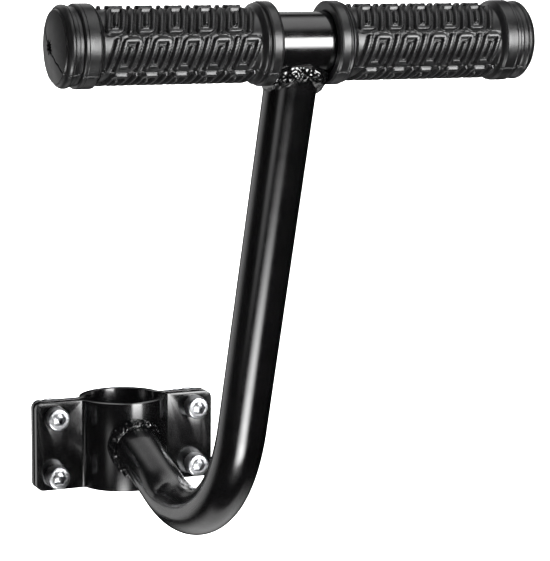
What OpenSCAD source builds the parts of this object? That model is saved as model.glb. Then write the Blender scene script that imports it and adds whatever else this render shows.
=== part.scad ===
// Child's handle for a bicycle's seat post.
// A crossbar with two rubber grips stands on a bent stem, which is welded to
// the rear half of a two-plate clamp. Four socket screws and four flange nuts
// draw the plates together round the seat post.
// X runs along the crossbar, -Y points to the rear of the bicycle and +Z up
// along the seat post. The origin is on the post's axis at mid height of the
// clamp plates.

/* [Crossbar] */
// Outside diameter of the crossbar tube
bar_d = 22.2; // [20:0.2:24]
// Wall of the crossbar tube
bar_wall = 1.6; // [1:0.1:2.5]
// Distance of the crossbar behind the post's axis
bar_back = 182.6; // [170:0.2:210]
// Height of the crossbar above the middle of the clamp
bar_up = 182.6; // [160:0.2:220]
// Length over both grips
overall_w = 183; // [170:1:210]
// Length of bare tube between the grips
bare_w = 21.4; // [21:0.2:28]

/* [Stem] */
// Outside diameter of the stem tube
stem_d = 19; // [16:0.5:20]
// Wall of the stem tube
stem_wall = 1.5; // [1:0.1:2.5]
// Radius of the stem's bend, on its centre line
bend_r = 67; // [45:1:75]
// Angle by which the stem tips back: its lower leg drops and its upper leg
// leans by it, with a square bend between them
stem_tilt = 17.5; // [12:0.5:21]

/* [Clamp plates] */
// Diameter of the seat post in the clamp
post_d = 31.8; // [30:0.1:34]
// Thickness of the plates
plate_t = 3; // [2:0.1:4]
// Width of a plate
plate_w = 81; // [78:0.5:90]
// Height of a plate
plate_h = 38.6; // [36:0.2:46]
// Gap that the tightened plates keep between them
plate_gap = 2; // [1:0.1:4]
// Radius of the plates' corners
corner_r = 3; // [1:0.5:5]
// Inside radius of the folds beside the channel
fold_r = 2; // [1:0.1:3]
// Distance from a slot's middle to the plate's side edge
slot_in_x = 8.3; // [7.8:0.1:9]
// Distance from a slot's middle to the plate's upper or lower edge
slot_in_z = 6.4; // [5.6:0.1:7]
// Length of a screw slot
slot_l = 9.3; // [8:0.1:9.6]
// Height of a screw slot
slot_h = 7; // [6.4:0.1:7.6]

/* [Screws and nuts] */
// Diameter of the screws' thread
screw_d = 6; // [5:0.1:6.2]
// Length of the screws under their heads
screw_l = 25; // [20:1:30]
// Diameter of the screws' heads
head_d = 10; // [9.8:0.1:11]
// Height of the screws' heads
head_h = 6; // [5:0.1:7]
// Width of the hex socket across its flats
socket_af = 5; // [4:0.1:5.5]
// Depth of the hex socket
socket_depth = 3; // [2:0.1:3.5]
// Width of the nuts across their flats
nut_af = 10; // [9.6:0.1:10.4]
// Height of the nuts
nut_h = 6; // [5:0.1:7]
// Diameter of the nuts' flanges
nut_flange_d = 13.6; // [12.6:0.1:14.2]
// Thickness of a nut's flange at its rim
nut_flange_t = 1; // [0.6:0.1:1.6]

/* [Grips] */
// Thickness of a grip's closed end
end_wall = 4; // [3:0.1:5]
// Diameter of the air hole in the closed end
vent_d = 3.6; // [2:0.1:4]
// Diameter of the ring at the closed end
end_ring_d = 28.6; // [28:0.1:31]
// Width of the ring at the closed end
end_ring_w = 7; // [6:0.1:8]
// Rounding of the closed end's rim
end_round = 2; // [1:0.1:3]
// Height by which the closed end is domed
end_dome = 1.8; // [0.5:0.1:2]
// Width of the groove beside the end ring
groove_w = 1.2; // [0.8:0.1:2]
// Diameter of the groove's floor
groove_d = 27; // [26.4:0.1:27.6]
// Diameter of the second ring
ring_d = 29.2; // [28.4:0.1:31]
// Width of the second ring
ring_w = 7.6; // [6:0.1:9]
// Diameter of the flange at the open end
flange_d = 29.8; // [29:0.1:32]
// Width of the flange's bead at the open end
bead_w = 4.6; // [4:0.1:6]
// Rounding of the bead at the open end
bead_round = 1.2; // [0.8:0.1:3]
// Width of the slope from the flange down to the barrel
ramp_w = 2; // [1:0.1:3]
// Rounding of the rings' edges
edge_round = 1; // [0.5:0.1:1.3]
// Diameter of the barrel between the rings
barrel_d = 25.4; // [25:0.1:27]
// Height of the raised tread
tread_h = 1; // [0.4:0.1:1.1]
// Number of tread rows round the barrel
tread_rows = 6; // [6:1:8]
// Elevation of the joint line between two rows, seen from the rear
row_phase = 18; // [0:1:59]
// Space between two rows
row_gap = 1.4; // [1:0.1:2.5]
// Length of one tread motif along the barrel
motif_pitch = 10.9; // [10:0.1:13]
// Width of the frame in a motif
frame_w = 6.4; // [5.6:0.1:6.8]
// Width of the tread's raised lines
line_w = 1.3; // [1:0.1:1.4]
// Slant of the raised lines
slant = 15; // [5:1:20]

/* [Welds] */
// Length of the bar's weld down the stem
bar_weld_l = 6; // [4:0.1:7]
// Reach of the bar's weld along the bar
bar_weld_toe = 1.2; // [0.8:0.1:1.4]
// Height of the bar weld's bulge off the stem
bar_weld_h = 2.2; // [1:0.1:3]
// Length of the plate's weld along the stem
plate_weld_l = 3; // [2:0.1:4]
// Width of the plate's weld on the plate
plate_weld_w = 2.6; // [2:0.1:4]
// Angle by which the plate weld's ripples are turned
weld_turn = 40; // [0:5:90]
// Number of ripples round a weld
weld_ripples = 14; // [8:1:20]
// Height of the ripples, as a part of the weld's width
ripple = 0.13; // [0:0.01:0.2]
// Distance at which a weld's facets clear the metal under them
weld_seat = 0.04; // [0.02:0.01:0.1]
// Space between the bar's weld and the grips
weld_to_grip = 0.3; // [0.1:0.05:0.4]

/* [Hidden] */

$fn = 96;
eps = 0.01;
fold_lap = 0.002;
paint = "#17171a";
rubber = "#303033";
zinc = "#c6c9ce";

bar_r = bar_d / 2;
stem_r = stem_d / 2;
post_r = post_d / 2;
channel_r = post_r + plate_t;
inner_face = plate_gap / 2;
outer_face = inner_face + plate_t;
hole_dx = plate_w - 2 * slot_in_x;
hole_dz = plate_h - 2 * slot_in_z;
fold_out_r = fold_r + plate_t;

// The stem's centre line in the plane X = 0, as [Y, Z] points
lower_dir = [-cos(stem_tilt), -sin(stem_tilt)];
upper_dir = [-sin(stem_tilt), cos(stem_tilt)];
bar_at = [-bar_back, bar_up];
// Where the lower leg's axis would meet the post's axis, so that it crosses
// the back of the channel at mid height
leg_top = [0, channel_r * tan(stem_tilt)];
knee = crossing(leg_top, lower_dir, bar_at, upper_dir);
bend_start = knee - bend_r * lower_dir;
bend_end = knee + bend_r * upper_dir;
bend_centre = bend_start + bend_r * upper_dir;

// A grip's length and the stations along it, from its open end
grip_l = (overall_w - bare_w) / 2;
flange_w = bead_w + groove_w + ramp_w;
ring_start = grip_l - end_ring_w - groove_w - ring_w;
barrel_r = barrel_d / 2;
tread_r = barrel_r + tread_h;
row_half = tread_r * sin(180 / tread_rows) - row_gap / 2;
tread_room = ring_start - flange_w;
motif_count = floor(tread_room / motif_pitch);
tread_start = flange_w + (tread_room - motif_count * motif_pitch) / 2;

// Where the line from a along u meets the line from b along v
function crossing(a, u, b, v) =
    let (d = b - a, t = (d[0] * v[1] - d[1] * v[0]) / (u[0] * v[1] - u[1] * v[0]))
    a + t * u;

// Points of an arc
function arc(centre, r, from, to, steps) =
    [for (i = [0:steps]) let (a = from + (to - from) * i / steps)
        centre + r * [cos(a), sin(a)]];

// A point of a flat outline, leaned over by the tread's slant
function lean(p) = [p[0] + p[1] * tan(slant), p[1]];

// Outline of a leaned rectangle with round corners
function leaned_box(w, h, r) =
    let (x = w / 2 - r, y = h / 2 - r, steps = 2)
    [for (p = concat(
        arc([x, y], r, 0, 90, steps), arc([-x, y], r, 90, 180, steps),
        arc([-x, -y], r, 180, 270, steps), arc([x, -y], r, 270, 360, steps)))
        lean(p)];

// Outline of a ring of the grip from its bottom corner at z0 to z1
function ring_outline(r, z0, z1, round0, round1) =
    concat(
        arc([r - round0, z0 + round0], round0, -90, 0, 5),
        arc([r - round1, z1 - round1], round1, 0, 90, 6));

// Puts a flat form of the plane X = 0, drawn in [Y, Z], and its thickness in X
module in_stem_plane() {
    rotate([90, 0, 90]) children();
}

// Solid of the stem's run, of radius r: the upper leg leaves the start of the
// square bend and the lower leg its end
module stem_run(r) {
    in_stem_plane() translate([bend_centre[0], bend_centre[1], 0])
        rotate([0, 0, 180 + stem_tilt]) {
            translate([bend_r, 0, 0]) rotate([90, 0, 0])
                cylinder(r = r, h = norm(bar_at - bend_end));
            rotate_extrude(angle = 90) translate([bend_r, 0]) circle(r = r);
            translate([0, bend_r, 0]) rotate([0, -90, 0])
                cylinder(r = r, h = norm(bend_start - leg_top));
        }
}

module at_bar() {
    translate([0, -bar_back, bar_up]) children();
}

module along_x() {
    rotate([0, 90, 0]) children();
}

module crossbar_tube() {
    tube_l = overall_w - 2 * end_wall;
    color(paint) at_bar() along_x() difference() {
        cylinder(r = bar_r, h = tube_l, center = true);
        cylinder(r = bar_r - bar_wall, h = tube_l + 2, center = true);
    }
}

// The tube is coped to the crossbar above and to the channel's back below
module stem_tube() {
    color(paint) difference() {
        stem_run(stem_r);
        stem_run(stem_r - stem_wall);
        at_bar() along_x() cylinder(r = bar_r, h = bar_d * 2, center = true);
        cylinder(r = channel_r, h = plate_h * 2, center = true);
    }
}

// Sheet bent round the Z axis from the angle 0 over the angle turn
module bent_sheet(r, turn) {
    rotate_extrude(angle = turn) translate([r, -plate_h / 2]) square([plate_t, plate_h]);
}

// One slot through a plate's flange
module slot(x, z) {
    reach = slot_l / 2 - slot_h / 2;
    translate([x, 0, z]) rotate([90, 0, 0]) {
        for (side = [-1, 1]) translate([side * reach, 0, 0])
            cylinder(d = slot_h, h = 4 * outer_face, center = true);
        cube([2 * reach, slot_h, 4 * outer_face], center = true);
    }
}

// Outline of the sheet from the front, run through along Y
module plate_blank() {
    run = 3 * channel_r;
    x = plate_w / 2 - corner_r;
    z = plate_h / 2 - corner_r;
    cube([plate_w, run, 2 * z], center = true);
    cube([2 * x, run, plate_h], center = true);
    for (i = [-1, 1], k = [-1, 1]) translate([i * x, 0, k * z])
        rotate([90, 0, 0]) cylinder(r = corner_r, h = run, center = true);
}

// One half of the pressed sheet: half the channel, a fold and a flange
module half_sheet() {
    fold_y = inner_face + fold_out_r;
    fold_x = sqrt(pow(post_r + fold_out_r, 2) - fold_y * fold_y);
    turn = 90 - atan2(fold_y, fold_x);
    lap = fold_lap / post_r * 180 / PI;
    rotate([0, 0, -90]) bent_sheet(post_r, turn + lap);
    translate([fold_x, -fold_y, 0]) rotate([0, 0, 90]) bent_sheet(fold_r, turn);
    translate([fold_x - fold_lap, -outer_face, -plate_h / 2])
        cube([plate_w / 2 - fold_x + fold_lap, plate_t, plate_h]);
}

// The pressed plate with its four slots
module clamp_plate() {
    color(paint) difference() {
        intersection() {
            union() {
                half_sheet();
                mirror([1, 0, 0]) half_sheet();
            }
            plate_blank();
        }
        for (i = [-1, 1], k = [-1, 1]) slot(i * hole_dx / 2, k * hole_dz / 2);
    }
}

module rear_clamp_plate() {
    clamp_plate();
}

module front_clamp_plate() {
    mirror([0, 1, 0]) clamp_plate();
}

// Swell of the weld at the angle a round the joint: ripples and a slower wave
function weld_swell(a) =
    1 + ripple * (cos(weld_ripples * a) + 0.5 * sin(3 * a));

// Ring of weld. ring[i] holds the section's points at one station.
module weld_ring(ring) {
    n = len(ring);
    m = len(ring[0]);
    points = [for (station = ring) each station];
    faces = [for (i = [0:n - 1], j = [0:m - 1])
        let (i2 = (i + 1) % n, j2 = (j + 1) % m)
        each [[i * m + j, i * m + j2, i2 * m + j2], [i * m + j, i2 * m + j2, i2 * m + j]]];
    color(paint) polyhedron(points = points, faces = faces, convexity = 6);
}

weld_stations = 84;

// Height of the bar's surface at the distance r and the angle a round the stem,
// in the stem's own frame, with Z along the upper leg from the bar's axis
function on_bar(r, a) =
    sqrt(pow(bar_r + weld_seat, 2) - pow(r * sin(a), 2));

// Section of the bar's weld at the angle a, as [r, z] points: a short reach
// along the bar and a long bulging leg down the stem, held clear of the grips
function bar_weld_section(a) =
    let (
        root = stem_r + weld_seat,
        room = (bare_w / 2 - weld_to_grip) / max(abs(cos(a)), eps) - root,
        toe = min(bar_weld_toe * (1 - 0.5 * sin(a) * sin(a)), room),
        toe_z = on_bar(root + toe, a),
        end_z = on_bar(root, a) + bar_weld_l * weld_swell(a),
        bulge = bar_weld_h * weld_swell(a))
    concat(
        [for (t = [0, 0.5, 1]) [root + t * toe, on_bar(root + t * toe, a)]],
        [for (i = [1:4]) let (t = i / 5)
            [root + min(toe * (1 - t) + bulge * sin(180 * t), room),
             toe_z + (end_z - toe_z) * t]],
        [[root, end_z]]);

module bar_weld() {
    ring = [for (i = [0:weld_stations - 1])
        let (a = 360 * i / weld_stations)
        [for (s = bar_weld_section(a)) [s[0] * cos(a), s[0] * sin(a), s[1]]]];
    at_bar() rotate([180 + stem_tilt, 0, 0]) weld_ring(ring);
}

// Section of the plate's weld as offsets off the stem and along it, with the
// swell widening the bulge between the toes
function plate_weld_section(swell) =
    concat(
        [[0, 0], [plate_weld_w / 2, 0], [plate_weld_w, 0]],
        [for (a = [18:18:72]) swell * [plate_weld_w * cos(a), plate_weld_l * sin(a)]],
        [[0, plate_weld_l]]);

// Point of the plate weld in the stem's own frame, with Z along the lower leg
// from the post's axis out
function plate_weld_point(a, s) =
    let (
        r = stem_r + weld_seat + s[0],
        x = r * cos(a),
        reach = channel_r + weld_seat,
        across = r * sin(a),
        back = sqrt(reach * reach - x * x))
    [x, across, (back - across * sin(stem_tilt)) / cos(stem_tilt) + s[1]];

module plate_weld() {
    ring = [for (i = [0:weld_stations - 1])
        let (a = 360 * i / weld_stations)
        [for (s = plate_weld_section(weld_swell(a + weld_turn))) plate_weld_point(a, s)]];
    translate([0, 0, leg_top[1]]) rotate([90 + stem_tilt, 0, 0]) weld_ring(ring);
}

// Section of a grip's rubber, radius across and the stations up
module grip_section() {
    end_r = end_ring_d / 2;
    ring_r = ring_d / 2;
    flange_r = flange_d / 2;
    neck_r = flange_r - edge_round;
    groove_z = grip_l - end_ring_w - groove_w;
    dome_edge = end_r - end_round;
    dome_r = (dome_edge * dome_edge + end_dome * end_dome) / (2 * end_dome);
    polygon(concat(
        [[0, 0]],
        ring_outline(flange_r, 0, bead_w, bead_round, edge_round),
        [[neck_r, bead_w + groove_w / 2]],
        [[neck_r + edge_round / 2, bead_w + groove_w]],
        [[barrel_r, flange_w]],
        [[barrel_r, ring_start]],
        ring_outline(ring_r, ring_start, ring_start + ring_w, edge_round, edge_round),
        [[groove_d / 2, groove_z]],
        [[groove_d / 2, groove_z + groove_w]],
        ring_outline(end_r, grip_l - end_ring_w, grip_l - end_dome, edge_round, end_round),
        arc([0, grip_l - dome_r], dome_r, acos(dome_edge / dome_r) + eps, 90, 5)));
}

// One motif of the tread, from x = 0 on: a leaned frame with a short line in
// it, and a long line beside it
module motif() {
    beside = (motif_pitch - frame_w) / 2 + line_w / 2;
    translate([frame_w / 2 + line_w / 2, 0]) {
        difference() {
            polygon(leaned_box(frame_w, 2 * row_half, line_w));
            polygon(leaned_box(frame_w - 2 * line_w, 2 * row_half - 2 * line_w, line_w / 2));
        }
        polygon(leaned_box(line_w, row_half, line_w / 2 - eps));
        translate([frame_w / 2 + beside - line_w / 2, 0])
            polygon(leaned_box(line_w, 2 * row_half, line_w / 2 - eps));
    }
}

// The raised tread of the grip on one side: rows of motifs, turned end for end
// from row to row, and cut round to the tread's radius
module tread(side) {
    middle = bare_w / 2 + tread_start + motif_count * motif_pitch / 2;
    base_r = tread_r * cos(180 / tread_rows) - 2 * tread_h;
    intersection() {
        translate([side * middle, 0, 0]) along_x()
            cylinder(r = tread_r, h = grip_l, center = true);
        for (row = [0:tread_rows - 1])
            rotate([90 - row_phase - (row + 0.5) * 360 / tread_rows, 0, 0])
            translate([side * middle, 0, base_r])
            rotate([0, 0, 180 * (row % 2)])
            for (i = [0:motif_count - 1])
                translate([(i - motif_count / 2) * motif_pitch, 0, 0])
                linear_extrude(height = tread_r) motif();
    }
}

module grip(side) {
    color(rubber) at_bar() difference() {
        union() {
            rotate([0, side * 90, 0]) translate([0, 0, bare_w / 2])
                rotate_extrude() grip_section();
            tread(side);
        }
        rotate([0, side * 90, 0]) {
            translate([0, 0, bare_w / 2 - 1])
                cylinder(r = bar_r, h = grip_l - end_wall + 1);
            cylinder(d = vent_d, h = overall_w);
        }
    }
}

module left_grip() {
    grip(-1);
}

module right_grip() {
    grip(1);
}

// Screw positions 1 to 4: upper left, upper right, lower left, lower right
function hole_at(number) =
    [number % 2 == 1 ? -hole_dx / 2 : hole_dx / 2,
     number <= 2 ? hole_dz / 2 : -hole_dz / 2];

// Moves a screw or nut, drawn up Z, to its hole, with Z along +Y from y
module at_hole(number, y) {
    translate([hole_at(number)[0], y, hole_at(number)[1]])
        rotate([-90, 0, 0]) children();
}

module clamp_screw(number) {
    head_r = head_d / 2;
    screw_r = screw_d / 2;
    bevel = 0.6;
    color(zinc) at_hole(number, -outer_face) difference() {
        rotate_extrude() polygon([
            [0, -head_h], [head_r - bevel, -head_h], [head_r, -head_h + bevel],
            [head_r, 0], [screw_r, 0], [screw_r, screw_l - bevel],
            [screw_r - bevel, screw_l], [0, screw_l]]);
        translate([0, 0, -head_h - 1])
            cylinder(d = socket_af / cos(30), h = socket_depth + 1, $fn = 6);
    }
}

module clamp_screw_1() { clamp_screw(1); }
module clamp_screw_2() { clamp_screw(2); }
module clamp_screw_3() { clamp_screw(3); }
module clamp_screw_4() { clamp_screw(4); }

module flange_nut(number) {
    corner = nut_af / cos(30) / 2;
    rim_r = nut_flange_d / 2;
    bevel = 0.5;
    color(zinc) at_hole(number, outer_face) difference() {
        union() {
            rotate_extrude() polygon([
                [0, 0], [rim_r - bevel / 2, 0], [rim_r, bevel / 2],
                [rim_r, nut_flange_t], [nut_af / 2, 2 * nut_flange_t + bevel],
                [0, 2 * nut_flange_t + bevel]]);
            intersection() {
                cylinder(r = corner, h = nut_h, $fn = 6);
                rotate_extrude() polygon([
                    [0, 0], [corner + eps, 0], [corner + eps, nut_h - bevel],
                    [nut_af / 2 - bevel / 2, nut_h], [0, nut_h]]);
            }
        }
        translate([0, 0, -1]) cylinder(d = screw_d, h = nut_h + 2);
    }
}

module flange_nut_1() { flange_nut(1); }
module flange_nut_2() { flange_nut(2); }
module flange_nut_3() { flange_nut(3); }
module flange_nut_4() { flange_nut(4); }

crossbar_tube();
stem_tube();
bar_weld();
plate_weld();
rear_clamp_plate();
front_clamp_plate();
left_grip();
right_grip();
clamp_screw_1();
clamp_screw_2();
clamp_screw_3();
clamp_screw_4();
flange_nut_1();
flange_nut_2();
flange_nut_3();
flange_nut_4();
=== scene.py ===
"""A child's handle for a bicycle's seat post, dressed for a studio picture."""

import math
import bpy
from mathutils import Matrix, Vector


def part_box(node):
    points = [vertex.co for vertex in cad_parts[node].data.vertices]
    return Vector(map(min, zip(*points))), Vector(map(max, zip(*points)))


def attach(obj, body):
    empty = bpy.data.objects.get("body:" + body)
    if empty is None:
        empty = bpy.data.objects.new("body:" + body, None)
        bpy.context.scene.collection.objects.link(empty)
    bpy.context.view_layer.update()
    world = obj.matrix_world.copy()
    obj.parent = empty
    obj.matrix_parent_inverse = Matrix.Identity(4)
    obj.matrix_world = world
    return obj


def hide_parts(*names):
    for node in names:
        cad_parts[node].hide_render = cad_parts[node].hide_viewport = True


bl_info = {
    "name": "Seat post child handle",
    "version": (1, 0, 0),
    "blender": (4, 5, 0),
    "location": "3D View > Sidebar > Handle",
    "description": "Builds the handle's tubes, welds, grips, clamp and fasteners",
    "category": "Object",
}

import bmesh
import bpy
import numpy as np
from bpy.props import FloatProperty, FloatVectorProperty, IntProperty, PointerProperty
from mathutils import Euler, Matrix, Vector, noise

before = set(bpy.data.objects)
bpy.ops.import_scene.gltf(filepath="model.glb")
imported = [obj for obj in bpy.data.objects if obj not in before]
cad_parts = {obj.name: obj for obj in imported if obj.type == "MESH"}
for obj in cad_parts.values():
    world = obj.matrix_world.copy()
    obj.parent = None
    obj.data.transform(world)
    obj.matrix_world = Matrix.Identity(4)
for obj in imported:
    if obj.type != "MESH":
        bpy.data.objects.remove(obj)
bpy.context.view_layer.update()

MM = 0.001
ROOT = "root"
SCREWS = ["clamp_screw_%d" % number for number in (1, 2, 3, 4)]
NUTS = ["flange_nut_%d" % number for number in (1, 2, 3, 4)]
WELD_SEAT = 0.03 * MM  # how far a weld stays off what it lies on
DENT_SIDE = Vector((-0.62, 0, 0.78))  # from the lower leg's axis to the dent, in stem radii
FASTENER_COLUMNS = 144


def box_of(node):
    """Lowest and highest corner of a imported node."""
    low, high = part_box(node)
    return Vector(low), Vector(high)


def length_prop(name, text, value):
    """A length that a user may change, in metres."""
    return FloatProperty(
        name=name, description=text, default=value, min=0.0, unit="LENGTH", subtype="DISTANCE", precision=5
    )


def angle_prop(name, text, degrees):
    """An angle that a user may change."""
    return FloatProperty(name=name, description=text, default=math.radians(degrees), unit="ROTATION", subtype="ANGLE")


def colour_prop(name, text, rgb):
    """A paint or rubber colour."""
    return FloatVectorProperty(name=name, description=text, default=rgb, size=3, min=0.0, max=1.0, subtype="COLOR")


BAR_LOW, BAR_HIGH = box_of("crossbar_tube")
STEM_HIGH = box_of("stem_tube")[1]
PLATE_LOW = box_of("rear_clamp_plate")[0]
SCREW_LOW, SCREW_HIGH = box_of(SCREWS[0])
NUT_LOW, NUT_HIGH = box_of(NUTS[0])
BAR_AT = (BAR_LOW + BAR_HIGH) / 2


class TubeSizes(bpy.types.PropertyGroup):
    bar_radius: length_prop("Crossbar radius", "Outer radius of the crossbar tube", (BAR_HIGH.z - BAR_LOW.z) / 2)
    bar_wall: length_prop("Crossbar wall", "Wall of the crossbar tube", 1.6 * MM)
    stem_radius: length_prop("Stem radius", "Outer radius of the stem tube", STEM_HIGH.x)
    stem_wall: length_prop("Stem wall", "Wall of the stem tube", 1.5 * MM)
    bend_radius: length_prop("Bend radius", "Centre line radius of the stem's bend", 67 * MM)
    tilt: angle_prop("Stem tilt", "Angle by which the square bend tips back", 17.5)
    dent_depth: length_prop("Dent depth", "Depth of the pressed spot at the inside of the bend", 0.9 * MM)


class ClampSizes(bpy.types.PropertyGroup):
    channel_radius: length_prop("Channel radius", "Outer radius of the plates' channel", -PLATE_LOW.y)
    edge_bevel: length_prop("Edge bevel", "Rounding that the paint gives the plates' edges", 0.35 * MM)


class WeldSizes(bpy.types.PropertyGroup):
    bar_length: length_prop("Bar weld length", "Length of the bar's weld down the stem", 6 * MM)
    bar_toe: length_prop("Bar weld toe", "Reach of the bar's weld along the bar", 1.2 * MM)
    bar_bulge: length_prop("Bar weld bulge", "Height of the bar's weld off the stem", 2.2 * MM)
    side_room: length_prop("Side room", "Half width between the grips that the bar's weld may fill", 10.4 * MM)
    plate_length: length_prop("Plate weld length", "Length of the plate's weld along the stem", 3 * MM)
    plate_width: length_prop("Plate weld width", "Width of the plate's weld on the plate", 2.6 * MM)
    ripples: IntProperty(name="Ripples", description="Number of ripples round a weld", default=13, min=4, max=40)
    seed: IntProperty(name="Weld seed", description="Seed of the weld's lumps", default=7, min=0)


class GripSizes(bpy.types.PropertyGroup):
    end_wall: length_prop("End wall", "Thickness of the closed end", 4 * MM)
    vent_radius: length_prop("Vent radius", "Radius of the air hole in the closed end", 1.8 * MM)
    end_ring_radius: length_prop("End ring radius", "Radius of the ring at the closed end", 14.3 * MM)
    end_ring_width: length_prop("End ring width", "Width of the ring at the closed end", 7 * MM)
    end_round: length_prop("End rounding", "Rounding of the closed end's rim", 2 * MM)
    end_dome: length_prop("End dome", "Height by which the closed end is domed", 1.8 * MM)
    groove_width: length_prop("Groove width", "Width of the grooves between the rings", 1.2 * MM)
    groove_radius: length_prop("Groove radius", "Radius of the outer groove's floor", 13.5 * MM)
    ring_radius: length_prop("Ring radius", "Radius of the second ring", 14.6 * MM)
    ring_width: length_prop("Ring width", "Width of the second ring", 7.6 * MM)
    flange_radius: length_prop("Flange radius", "Radius of the bead at the open end", 14.9 * MM)
    bead_width: length_prop("Bead width", "Width of the bead at the open end", 4.6 * MM)
    ramp_width: length_prop("Ramp width", "Width of the slope from the flange to the barrel", 2 * MM)
    barrel_radius: length_prop("Barrel radius", "Radius of the barrel under the tread", 12.7 * MM)
    tread_height: length_prop("Tread height", "Height of the raised tread", 1 * MM)
    tread_rows: IntProperty(name="Tread rows", description="Rows of tread round a grip", default=6, min=3, max=12)
    row_phase: angle_prop("Row phase", "Elevation of the joint line between two rows", 18)
    row_gap: length_prop("Row gap", "Space between two rows", 1.4 * MM)
    motif_pitch: length_prop("Motif pitch", "Length of one tread motif", 10.9 * MM)
    frame_width: length_prop("Frame width", "Width of the frame in a motif", 6.4 * MM)
    line_width: length_prop("Line width", "Width of the raised lines", 1.3 * MM)
    slant: angle_prop("Slant", "Lean of the raised lines", 15)
    columns: IntProperty(name="Columns", description="Mesh columns round a grip", default=288, min=48, max=480)


class FastenerSizes(bpy.types.PropertyGroup):
    thread_diameter: length_prop("Thread diameter", "Outer diameter of the thread", 6 * MM)
    thread_pitch: length_prop("Thread pitch", "Distance from turn to turn", 1 * MM)
    thread_depth: length_prop("Thread depth", "Depth of the thread", 0.5 * MM)
    screw_length: length_prop("Screw length", "Length under the head", 25 * MM)
    head_radius: length_prop("Head radius", "Radius of a screw's head", (SCREW_HIGH.x - SCREW_LOW.x) / 2)
    head_height: length_prop("Head height", "Height of a screw's head", 6 * MM)
    socket_flats: length_prop("Socket flats", "Width of the hex socket across its flats", 5 * MM)
    socket_depth: length_prop("Socket depth", "Depth of the hex socket", 3 * MM)
    nut_flats: length_prop("Nut flats", "Width of a nut across its flats", 10 * MM)
    nut_height: length_prop("Nut height", "Height of a nut", NUT_HIGH.y - NUT_LOW.y)
    flange_radius: length_prop("Nut flange radius", "Radius of a nut's flange", (NUT_HIGH.x - NUT_LOW.x) / 2)
    flange_rim: length_prop("Nut flange rim", "Thickness of a nut's flange at its rim", 1 * MM)


class Finishes(bpy.types.PropertyGroup):
    paint: colour_prop("Paint", "Colour of the black gloss paint", (0.0028, 0.0028, 0.003))
    rubber: colour_prop("Rubber", "Colour of the moulded rubber", (0.0062, 0.0062, 0.0065))
    zinc: colour_prop("Zinc", "Colour of the plated fasteners", (0.5, 0.505, 0.52))
    floor: colour_prop("Floor", "Colour of the studio's floor and backdrop", (0.93, 0.93, 0.93))


class StudioSizes(bpy.types.PropertyGroup):
    azimuth: angle_prop("Camera azimuth", "Turn of the camera round the handle", -23.7)
    elevation: angle_prop("Camera elevation", "Height of the camera as an angle", 9.084)
    roll: angle_prop("Camera roll", "Turn of the camera round its own axis", 0.461)
    distance: length_prop("Camera distance", "Distance from the camera to the clamp's plane", 990.4 * MM)
    shift_x: FloatProperty(name="Sideways", description="Camera to the right of the clamp", default=67.1 * MM)
    shift_y: FloatProperty(name="Upwards", description="Camera above the clamp", default=69.4 * MM)
    lens: FloatProperty(name="Lens", description="Focal length of the camera in millimetres", default=144.63)
    floor_drop: length_prop("Floor drop", "Depth of the floor under the clamp", 320 * MM)


SIZE_GROUPS = (
    ("handle_tubes", TubeSizes),
    ("handle_clamp", ClampSizes),
    ("handle_welds", WeldSizes),
    ("handle_grips", GripSizes),
    ("handle_fasteners", FastenerSizes),
    ("handle_finishes", Finishes),
    ("handle_studio", StudioSizes),
)


# Materials


def times(colour, factor):
    """A colour made lighter or darker."""
    return tuple(min(1.0, part * factor) for part in colour)


class Finish:
    """A node material whose patterns lie on the piece's own coordinates, in cycles a metre."""

    def __init__(self, name):
        """Makes an empty material."""
        self.material = bpy.data.materials.new(name)
        self.material.use_nodes = True
        self.nodes, self.links = self.material.node_tree.nodes, self.material.node_tree.links
        self.shader = self.nodes["Principled BSDF"]
        self.normal = None

    def put(self, kind, values, output):
        """Adds a node, sets or links its inputs and returns one of its outputs."""
        node = self.nodes.new(kind)
        if kind == "ShaderNodeMix":
            node.data_type = "RGBA"
        for key, value in values.items():
            if isinstance(value, bpy.types.NodeSocket):
                self.links.new(value, node.inputs[key])
            else:
                node.inputs[key].default_value = value
        return node.outputs[output]

    def fix(self, **values):
        """Sets the shader's own sockets."""
        for key, value in values.items():
            self.shader.inputs[key.replace("_", " ")].default_value = value

    def noise(self, scale, detail=3.0, roughness=0.5):
        """Noise from 0 to 1."""
        place = self.put("ShaderNodeTexCoord", {}, "Object")
        values = {"Vector": place, "Scale": scale, "Detail": detail, "Roughness": roughness}
        return self.put("ShaderNodeTexNoise", values, "Fac")

    def spread(self, source, low, high, from_low=0.3, from_high=0.7):
        """Maps a value to a range."""
        values = {"Value": source, "From Min": from_low, "From Max": from_high, "To Min": low, "To Max": high}
        return self.put("ShaderNodeMapRange", values, "Result")

    def clouded(self, noise, dark, light):
        """Colours the shader in the patches of a noise, and returns that colour."""
        values = {"Factor": self.spread(noise, 0, 1), "A": (*dark, 1), "B": (*light, 1)}
        colour = self.put("ShaderNodeMix", values, "Result")
        self.links.new(colour, self.shader.inputs["Base Color"])
        return colour

    def smeared(self, noise, low, high):
        """Makes the shader's roughness vary with a noise."""
        self.links.new(self.spread(noise, low, high), self.shader.inputs["Roughness"])

    def bump(self, noise, distance):
        """Raises a noise on the shader, on top of what is raised already."""
        values = {"Height": noise, "Distance": distance}
        if self.normal:
            values["Normal"] = self.normal
        self.normal = self.put("ShaderNodeBump", values, "Normal")
        self.links.new(self.normal, self.shader.inputs["Normal"])


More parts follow.
